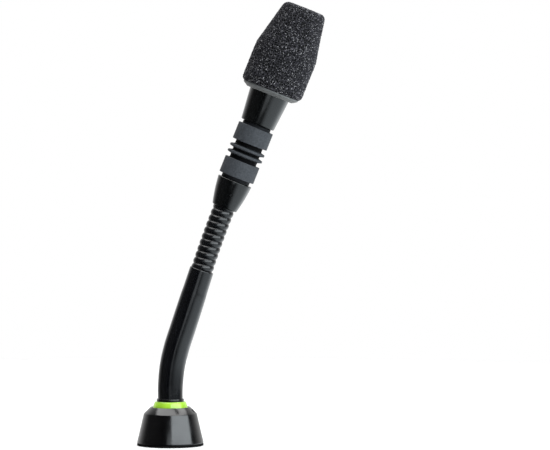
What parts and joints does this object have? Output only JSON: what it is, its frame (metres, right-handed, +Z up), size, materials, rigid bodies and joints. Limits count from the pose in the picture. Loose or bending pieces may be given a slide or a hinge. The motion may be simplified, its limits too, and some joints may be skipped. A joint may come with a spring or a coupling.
{
  "type": "desktop microphone",
  "caption": "Short gooseneck microphone on a small cone base with a lit ring, screwed through a desk, with a shock mount and a foam windscreen.",
  "frame": {"origin": "centre of the base's underside, on the desk's surface, on the axis of the hole in the desk", "axes": "+Z up along the stud and the bottom of the neck, +X the way the neck leans, +Y to the left of someone facing +X"},
  "size_m": [0.073, 0.026, 0.2055],
  "materials": {
    "gasket_rubber": "matt moulded rubber",
    "black_gloss": "smooth gloss black paint",
    "black_satin": "fine satin black paint",
    "plated_steel": "turned and plated",
    "brass": "turned",
    "circuit_board": "solder mask",
    "black_plastic": "moulded",
    "black_screw": "black oxide",
    "led_lens": "clear lens",
    "green_acrylic": "translucent, lit from below",
    "cable_jacket": "smooth jacket",
    "sleeve_rubber": "smooth satin heat-shrink sleeve",
    "rib_steel": "black lacquered coiled steel",
    "mount_rubber": "matt moulded rubber",
    "clip_plastic": "moulded grey plastic",
    "windscreen_foam": "open-cell foam"
  },
  "bodies": {
    "base": {"base_gasket": "gasket_rubber", "base_shell": "black_gloss", "base_plate": "plated_steel", "mounting_stud": "plated_steel", "preamp_board": "circuit_board", "board_screw_1": "plated_steel", "board_screw_2": "plated_steel", "preamp_chip": "black_plastic", "preamp_capacitor": "black_plastic", "output_terminal": "black_plastic", "board_header": "black_plastic", "led_board": "circuit_board", "led_1": "led_lens", "led_2": "led_lens", "neck_socket": "black_plastic", "light_ring": "green_acrylic"},
    "lock_screw": {"lock_screw": "black_screw"},
    "washers": {"isolation_washer": "gasket_rubber", "steel_washer": "plated_steel"},
    "nut": {"mounting_nut": "plated_steel"},
    "neck_foot": {"neck_plug": "brass", "neck_flange": "black_gloss", "neck_lead_lower": "cable_jacket", "sleeve_segment_0": "sleeve_rubber"},
    "neck_link_1": {"sleeve_segment_1": "sleeve_rubber"},
    "neck_link_2": {"sleeve_segment_2": "sleeve_rubber"},
    "neck_link_3": {"sleeve_segment_3": "sleeve_rubber"},
    "neck_link_4": {"sleeve_segment_4": "sleeve_rubber"},
    "neck_link_5": {"sleeve_segment_5": "sleeve_rubber"},
    "neck_link_6": {"sleeve_segment_6": "sleeve_rubber", "neck_ferrule": "brass", "neck_turn_00": "rib_steel"},
    "rib_link_1": {"neck_turn_01": "rib_steel"},
    "rib_link_2": {"neck_turn_02": "rib_steel"},
    "rib_link_3": {"neck_turn_03": "rib_steel"},
    "rib_link_4": {"neck_turn_04": "rib_steel"},
    "rib_link_5": {"neck_turn_05": "rib_steel"},
    "rib_link_6": {"neck_turn_06": "rib_steel"},
    "rib_link_7": {"neck_turn_07": "rib_steel"},
    "rib_link_8": {"neck_turn_08": "rib_steel"},
    "rib_link_9": {"neck_turn_09": "rib_steel"},
    "adapter": {"neck_turn_10": "rib_steel", "neck_adapter": "black_satin", "adapter_grub_screw": "black_screw", "neck_lead_upper": "cable_jacket", "shock_insert_lower": "black_screw", "shock_collar_lower": "mount_rubber"},
    "bellows": {"shock_bellows": "mount_rubber"},
    "head": {"shock_collar_upper": "mount_rubber", "shock_insert_upper": "black_screw", "head_housing": "black_satin", "head_board": "circuit_board", "contact_pin": "brass"},
    "seal": {"capsule_seal": "gasket_rubber"},
    "capsule": {"capsule_body": "brass", "capsule_element": "plated_steel", "capsule_grille": "brass"},
    "windscreen": {"windscreen_clip": "clip_plastic", "windscreen_foam": "windscreen_foam"}
  },
  "joints": [
    {"name": "lock_screw_back_out", "type": "slide", "parent": "base", "child": "lock_screw", "axis": [0.9903, -0.1392, 0], "range_m": [0, 0.002]},
    {"name": "washer_drop", "type": "slide", "parent": "base", "child": "washers", "axis": [0, 0, -1], "range_m": [0, 0.0061]},
    {"name": "nut_turn", "type": "hinge", "parent": "washers", "child": "nut", "pos_m": [0, 0, -0.0235], "axis": [0, 0, -1], "range_deg": [0, 1440]},
    {"name": "neck_pull_out", "type": "slide", "parent": "base", "child": "neck_foot", "axis": [0, 0, 1], "range_m": [0, 0.01]},
    {"name": "lower_neck_bend", "type": "hinge", "parent": "neck_foot", "child": "neck_link_1", "pos_m": [0.00003, 0, 0.0232], "axis": [0, 1, 0], "range_deg": [-15, 15]},
    {"name": "lower_neck_side", "type": "hinge", "parent": "neck_link_1", "child": "neck_link_2", "pos_m": [0.00077, 0, 0.03076], "axis": [0.9872, 0, -0.1593], "range_deg": [-15, 15]},
    {"name": "lower_neck_bend_2", "type": "hinge", "parent": "neck_link_2", "child": "neck_link_3", "pos_m": [0.00245, 0, 0.03816], "axis": [0, 1, 0], "range_deg": [-15, 15]},
    {"name": "lower_neck_side_2", "type": "hinge", "parent": "neck_link_3", "child": "neck_link_4", "pos_m": [0.00479, 0, 0.0454], "axis": [0.9505, 0, -0.3107], "range_deg": [-15, 15]},
    {"name": "lower_neck_bend_3", "type": "hinge", "parent": "neck_link_4", "child": "neck_link_5", "pos_m": [0.00715, 0, 0.05262], "axis": [0, 1, 0], "range_deg": [-15, 15]},
    {"name": "lower_neck_side_3", "type": "hinge", "parent": "neck_link_5", "child": "neck_link_6", "pos_m": [0.00951, 0, 0.05985], "axis": [0.9505, 0, -0.3107], "range_deg": [-15, 15]},
    {"name": "upper_neck_bend", "type": "hinge", "parent": "neck_link_6", "child": "rib_link_1", "pos_m": [0.01293, 0, 0.0703], "axis": [0, 1, 0], "range_deg": [-9, 9]},
    {"name": "upper_neck_side", "type": "hinge", "parent": "rib_link_1", "child": "rib_link_2", "pos_m": [0.01372, 0, 0.07267], "axis": [0.9473, 0, -0.3205], "range_deg": [-9, 9]},
    {"name": "upper_neck_bend_2", "type": "hinge", "parent": "rib_link_2", "child": "rib_link_3", "pos_m": [0.01453, 0, 0.07504], "axis": [0, 1, 0], "range_deg": [-9, 9]},
    {"name": "upper_neck_side_2", "type": "hinge", "parent": "rib_link_3", "child": "rib_link_4", "pos_m": [0.01535, 0, 0.0774], "axis": [0.9432, 0, -0.3323], "range_deg": [-9, 9]},
    {"name": "upper_neck_bend_3", "type": "hinge", "parent": "rib_link_4", "child": "rib_link_5", "pos_m": [0.01619, 0, 0.07975], "axis": [0, 1, 0], "range_deg": [-9, 9]},
    {"name": "upper_neck_side_3", "type": "hinge", "parent": "rib_link_5", "child": "rib_link_6", "pos_m": [0.01705, 0, 0.0821], "axis": [0.9389, 0, -0.3442], "range_deg": [-9, 9]},
    {"name": "upper_neck_bend_4", "type": "hinge", "parent": "rib_link_6", "child": "rib_link_7", "pos_m": [0.01791, 0, 0.08445], "axis": [0, 1, 0], "range_deg": [-9, 9]},
    {"name": "upper_neck_side_4", "type": "hinge", "parent": "rib_link_7", "child": "rib_link_8", "pos_m": [0.01879, 0, 0.08679], "axis": [0.9345, 0, -0.3559], "range_deg": [-9, 9]},
    {"name": "upper_neck_bend_5", "type": "hinge", "parent": "rib_link_8", "child": "rib_link_9", "pos_m": [0.01969, 0, 0.08912], "axis": [0, 1, 0], "range_deg": [-9, 9]},
    {"name": "upper_neck_side_5", "type": "hinge", "parent": "rib_link_9", "child": "adapter", "pos_m": [0.0206, 0, 0.09145], "axis": [0.93, 0, -0.3676], "range_deg": [-9, 9]},
    {"name": "shock_mount_nod", "type": "hinge", "parent": "adapter", "child": "bellows", "pos_m": [0.02873, 0, 0.11178], "axis": [0, 1, 0], "range_deg": [-4, 4], "stiffness_Nm_per_rad": 0.6},
    {"name": "shock_mount_sway", "type": "hinge", "parent": "bellows", "child": "head", "pos_m": [0.0307, 0, 0.1167], "axis": [0.9285, 0, -0.3714], "range_deg": [-4, 4], "stiffness_Nm_per_rad": 0.6},
    {"name": "capsule_rise", "type": "slide", "parent": "head", "child": "seal", "axis": [0.3714, 0, 0.9285], "range_m": [0, 0.0042]},
    {"name": "capsule_unscrew", "type": "hinge", "parent": "seal", "child": "capsule", "pos_m": [0.03976, 0, 0.13936], "axis": [0.3714, 0, 0.9285], "range_deg": [0, 1980]},
    {"name": "windscreen_pull_off", "type": "slide", "parent": "head", "child": "windscreen", "axis": [0.3714, 0, 0.9285], "range_m": [0, 0.016]}
  ],
  "couplings": [
    {"joint": "washer_drop", "follows": "nut_turn", "m_per_rad": 0.00023873},
    {"joint": "lower_neck_bend_2", "follows": "lower_neck_bend", "ratio": 1},
    {"joint": "lower_neck_side_2", "follows": "lower_neck_side", "ratio": 1},
    {"joint": "lower_neck_bend_3", "follows": "lower_neck_bend", "ratio": 1},
    {"joint": "lower_neck_side_3", "follows": "lower_neck_side", "ratio": 1},
    {"joint": "upper_neck_bend_2", "follows": "upper_neck_bend", "ratio": 1},
    {"joint": "upper_neck_side_2", "follows": "upper_neck_side", "ratio": 1},
    {"joint": "upper_neck_bend_3", "follows": "upper_neck_bend", "ratio": 1},
    {"joint": "upper_neck_side_3", "follows": "upper_neck_side", "ratio": 1},
    {"joint": "upper_neck_bend_4", "follows": "upper_neck_bend", "ratio": 1},
    {"joint": "upper_neck_side_4", "follows": "upper_neck_side", "ratio": 1},
    {"joint": "upper_neck_bend_5", "follows": "upper_neck_bend", "ratio": 1},
    {"joint": "upper_neck_side_5", "follows": "upper_neck_side", "ratio": 1},
    {"joint": "capsule_rise", "follows": "capsule_unscrew", "m_per_rad": 0.00011937}
  ]
}
